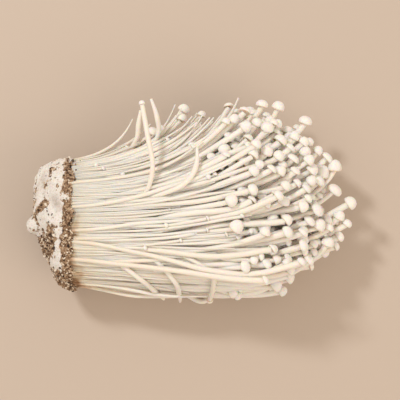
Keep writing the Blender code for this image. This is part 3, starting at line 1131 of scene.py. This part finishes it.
# No crumb is sown lower than this, so that none sinks into the table.
CRUMB_FLOOR = 1.6 * MM
cover = [felt_cover(corner.co, out) for corner, out in zip(plug.data.vertices, heights)]
store_numbers(plug, "felt", cover)
bare = [
    min(max(1.35 - 1.9 * value, 0.06), 1.0) if corner.co.z > CRUMB_FLOOR else 0.0
    for value, corner in zip(cover, plug.data.vertices)
]
store_numbers(plug, "crumbs_here", bare)
print("share of the plug under felt:", round(sum(value > 0.5 for value in cover) / len(cover), 2))

# %% [markdown]
# ## The plug's finish
#
# Felt is white and scatters light softly; sawdust is dull and runs from straw to near black. A
# group mixes the sawdust's colours, and both the plug and its crumbs use it.

# %% Build the substrate materials
def sawdust_group():
    """A group that turns a place in space and a tone into the colour of sawdust."""
    group, given, made = new_tree(
        "sawdust_colour", "ShaderNodeTree", {"Colour": "Color", "Height": "Float"},
        Place="Vector", Tone="Float",
    )
    grain = grains(group, given["Place"], 780.0, 3.0, 0.7)
    colour = ramp(
        group, maths(group, "ADD", grain, given["Tone"]),
        (0.26, (0.022, 0.012, 0.007)), (0.40, (0.12, 0.062, 0.032)),
        (0.54, (0.42, 0.27, 0.16)), (0.68, (0.70, 0.55, 0.39)), (0.86, (0.88, 0.80, 0.68)),
    )
    feed(group, made["Colour"], colour)
    feed(group, made["Height"], grain)
    return group


sawdust = sawdust_group()


def use_sawdust(tree, place, tone):
    """The sawdust group in a material's tree: its colour and its height."""
    node = add(tree, "ShaderNodeGroup", node_tree=sawdust, in_Place=place, in_Tone=tone)
    return node.outputs["Colour"], node.outputs["Height"]


def make_substrate():
    """White felt over sawdust, with painted shade darkening its hollows."""
    material, tree, shader = principled(
        "substrate_look", Roughness=0.9, Subsurface_Weight=0.08, Subsurface_Scale=0.001
    )
    here = here_on_object(tree)
    dust, dust_height = use_sawdust(tree, here, 0.0)
    felt_grain = grains(tree, here, 1300.0, 4.0, 0.75)
    felt_colour = ramp(
        tree, felt_grain,
        (0.30, (0.42, 0.31, 0.23)), (0.40, (0.83, 0.77, 0.69)),
        (0.52, (0.93, 0.90, 0.86)), (0.7, (0.97, 0.96, 0.94)),
    )
    edge = maths(tree, "MULTIPLY", felt_grain, 0.30)
    mask = ramp(tree, maths(tree, "ADD", attribute(tree, "felt"), edge), (0.60, 0.0), (0.68, 1.0))
    colour = blend_colours(tree, mask, dust, felt_colour)
    # Painted shade: corners that lie low between the lumps are darkened towards brown, standing in for the
    # shade that falls in the hollows.
    shade_in_hollows = maths(tree, "MULTIPLY_ADD", attribute(tree, "stands_out"), 0.34, 0.95)
    depth = ramp(tree, shade_in_hollows, (0.30, (0.30, 0.20, 0.13)), (0.85, (1.0, 1.0, 1.0)))
    feed(tree, shader.inputs["Base Color"], blend_colours(tree, 0.85, colour, depth, "MULTIPLY"))
    bumpy(tree, shader, maths(tree, "ADD", dust_height, felt_grain), 0.9, 0.0005)
    return material


def make_crumb_look():
    """Crumbs of bark, sawdust and felt, each with a tone of its own."""
    material, tree, shader = principled("crumb_look", Roughness=0.85)
    tone = maths(tree, "MULTIPLY_ADD", attribute(tree, "tone"), 0.72, -0.25)
    dust, dust_height = use_sawdust(tree, here_on_object(tree), tone)
    feed(tree, shader.inputs["Base Color"], dust)
    bumpy(tree, shader, dust_height, 0.6, 0.0003)
    return material


plug.data.materials.append(make_substrate())
crumb_look = make_crumb_look()
print("materials:", sorted(item.name for item in bpy.data.materials if "look" in item.name))

# %% [markdown]
# ## Crumbs
#
# Crumbs stick to the torn parts. Each is a rough pebble with twenty faces, stretched at random, so
# it may be a chip of wood or a ball of felt. They are sown over the plug, thickest where the felt
# is gone, and over a narrow band on the stems' side of the seam.

# %% The crumb tree
def make_pebble(name, seed):
    """A rough pebble of radius 1."""
    work = bmesh.new()
    bmesh.ops.create_icosphere(work, subdivisions=1, radius=1.0)
    for corner in work.verts:
        corner.co *= 1 + 0.45 * noise.noise(corner.co * 2.3 + Vector((seed, 0, 0)))
    return finish_shape(work, name)


def random_value(tree, low, high, seed, kind="FLOAT"):
    """A random value for each element, with a fixed seed."""
    node = add(tree, "FunctionNodeRandomValue", data_type=kind, in_Seed=seed)
    lowest, highest = [socket for socket in node.inputs if socket.enabled][:2]
    lowest.default_value, highest.default_value = low, high
    return [socket for socket in node.outputs if socket.enabled][0]


def crumb_tree():
    """Sows crumbs over the ground, and keeps only the crumbs."""
    tree, given, made = new_tree(
        "sow_crumbs", "GeometryNodeTree", {"Crumbs": "Geometry"}, Ground="Geometry",
        Density="Float", Seed="Int", Size="Float", Pebbles="Collection", Look="Material",
    )
    sown = add(
        tree, "GeometryNodeDistributePointsOnFaces", in_Mesh=given["Ground"],
        in_Density=maths(tree, "MULTIPLY", given["Density"], named(tree, "crumbs_here")),
        in_Seed=given["Seed"],
    )
    toned = store(tree, sown.outputs["Points"], "tone", random_value(tree, 0.0, 1.0, 5))
    stretch = random_value(tree, (0.35, 0.45, 0.7), (0.9, 1.0, 1.9), 9, "FLOAT_VECTOR")
    sized = add(
        tree, "ShaderNodeVectorMath", operation="SCALE", in_0=stretch, in_Scale=given["Size"]
    )
    crumbs = set_on_points(
        tree, toned, given["Pebbles"], in_Scale=sized.outputs[0],
        in_Rotation=random_value(tree, (0, 0, 0), (6.28, 6.28, 6.28), 7, "FLOAT_VECTOR"),
    )
    feed(tree, made[0], painted(tree, make_real(tree, crumbs), given["Look"]))
    return tree


pebbles = bpy.data.collections.new("pebbles")
for pebble_seed in range(4):
    pebbles.objects.link(make_pebble(f"pebble_{pebble_seed}", 3.7 * pebble_seed))
sow_crumbs = crumb_tree()


def sow(name, ground, density, size, seed):
    """A piece of crumbs of a size, in metres, sown over a ground with so many on a square metre."""
    return run_tree(
        name + "_ground", ground.data.copy(), name, sow_crumbs,
        Density=density, Seed=seed, Size=size, Pebbles=pebbles, Look=crumb_look,
    )


fine = sow("fine_crumbs", plug, 620000.0, 0.00042, 3)
coarse = sow("coarse_crumbs", plug, 95000.0, 0.00085, 8)
print("faces of crumbs:", len(fine.data.polygons), len(coarse.data.polygons))

# %% [markdown]
# ## The root mat
#
# Between the plug and the free stems lies a mat where the stems are grown together. It fills the
# gaps between them, so it's a loaf a little smaller than the stems' own outline.

# %% Shape the root mat
def make_mat_look():
    """Cream flesh stained tan and brown by the sawdust."""
    material, tree, shader = principled(
        "root_mat_look", Roughness=0.8, Subsurface_Weight=0.1, Subsurface_Scale=0.001
    )
    here = here_on_object(tree)
    dust, dust_height = use_sawdust(tree, here, 0.04)
    clean = ramp(tree, grains(tree, here, 260.0, 4.0, 0.7), (0.42, 0.0), (0.62, 1.0))
    cream = blend_colours(tree, clean, dust, (0.78, 0.64, 0.47))
    feed(tree, shader.inputs["Base Color"], cream)
    bumpy(tree, shader, dust_height, 0.7, 0.0005)
    return material


def even_roughness(depth, scale):
    """A roughness of one depth, in millimetres, whose lumps shrink as scale grows."""
    return lambda point: depth * MM * noise.noise(point * scale)


mat_stations = [(-8.6 * share, 0.94 - 0.10 * share, 0.0) for share in np.linspace(0, 1, 17)]
root_mat = shape_loaf("root_mat", mat_stations, 130, even_roughness(0.7, 500), 0.3)
root_mat.data.materials.append(make_mat_look())

# The band that crumbs are sown over: on the outside of the stems, thinning out away from the seam.
band_stations = [(1.0 - 9.0 * share, 1.01 + 0.02 * share, 0.0) for share in np.linspace(0, 1, 14)]
band = shape_loaf("seam_band", band_stations, 120, even_roughness(0.6, 300), 0.3)


def crumbs_by_seam(point):
    """How thickly crumbs lie at a point of the band, from 0 to about 1."""
    if point.z <= CRUMB_FLOOR:
        return 0.0
    band_width = (5.2 + 5.5 * noise.noise(Vector((0, point.y * 70, 5)))) * MM
    near = max(0.0, 1 - max(point.x - ROOT_FACE.x, 0) / band_width)
    return near**1.8 * (0.35 + 0.9 * abs(noise.noise(point * 160)))


store_numbers(band, "crumbs_here", [crumbs_by_seam(corner.co) for corner in band.data.vertices])
seam = sow("seam_crumbs", band, 800000.0, 0.00048, 21)
bpy.data.objects.remove(band)

for piece, node, slot in (
    (plug, "substrate_plug", "substrate"),
    (fine, "substrate_plug", "substrate"),
    (coarse, "substrate_plug", "substrate"),
    (seam, "substrate_plug", "substrate"),
    (root_mat, "grown_together_base", "mushroom_flesh"),
):
    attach(piece, BODY)
    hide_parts(node)
print("seam crumbs' faces:", len(seam.data.polygons))
print("root mat corners:", len(root_mat.data.vertices))

# %% [markdown]
# ## The table and the light
#
# A plain pale table, a small lamp from the upper left that casts clear shadows, a large and weaker
# one from the other side, and a bright even room. The table is a shade darker than the mushrooms,
# so they stand out from it.

# %% Table, lamps and room
def make_table():
    """A plain pale floor."""
    bpy.ops.mesh.primitive_plane_add(size=4.0, location=(0, 0, 0))
    floor = bpy.context.object
    floor.name = "table_top"
    material, _, shader = principled("table_look", Roughness=0.85)
    shader.inputs["Base Color"].default_value = (0.60, 0.51, 0.43, 1)
    floor.data.materials.append(material)


def make_lamp(name, place_m, size, power, colour):
    """An area lamp that faces the bunch."""
    data = bpy.data.lights.new(name, "AREA")
    data.size = size
    data.energy = power
    data.color = colour
    lamp = bpy.data.objects.new(name, data)
    lamp.location = place_m
    aim = Vector((0, 0, 0.02)) - Vector(place_m)
    lamp.rotation_euler = aim.to_track_quat("-Z", "Y").to_euler()
    bpy.context.scene.collection.objects.link(lamp)


make_table()
make_lamp("key_lamp", (-0.55, 0.60, 0.95), 0.16, 5.7, (0.985, 0.985, 0.985))
make_lamp("fill_lamp", (0.8, -0.5, 0.8), 0.8, 3.6, (1.0, 0.85, 0.72))
world = bpy.data.worlds.new("room")
world.use_nodes = True
room_light = world.node_tree.nodes["Background"]
room_light.inputs["Color"].default_value = (1.0, 0.87, 0.745, 1)
room_light.inputs["Strength"].default_value = 0.70
bpy.context.scene.world = world
bpy.context.scene.view_settings.view_transform = "Standard"

# %% [markdown]
# ## The camera
#
# It looks straight down, from far enough that near and far stems keep nearly the same size.

# %% Camera
VIEW_WIDTH = 0.184
MIDDLE_HEIGHT = 0.030
camera_data = bpy.data.cameras.new("camera")
camera_data.lens = 150
camera_data.sensor_width = 36
camera = bpy.data.objects.new("camera", camera_data)
far_off = VIEW_WIDTH * camera_data.lens / camera_data.sensor_width
camera.location = (0.0015, 0.0006, MIDDLE_HEIGHT + far_off)
bpy.context.scene.collection.objects.link(camera)
bpy.context.scene.camera = camera
print("camera height, m:", round(camera.location.z, 3))
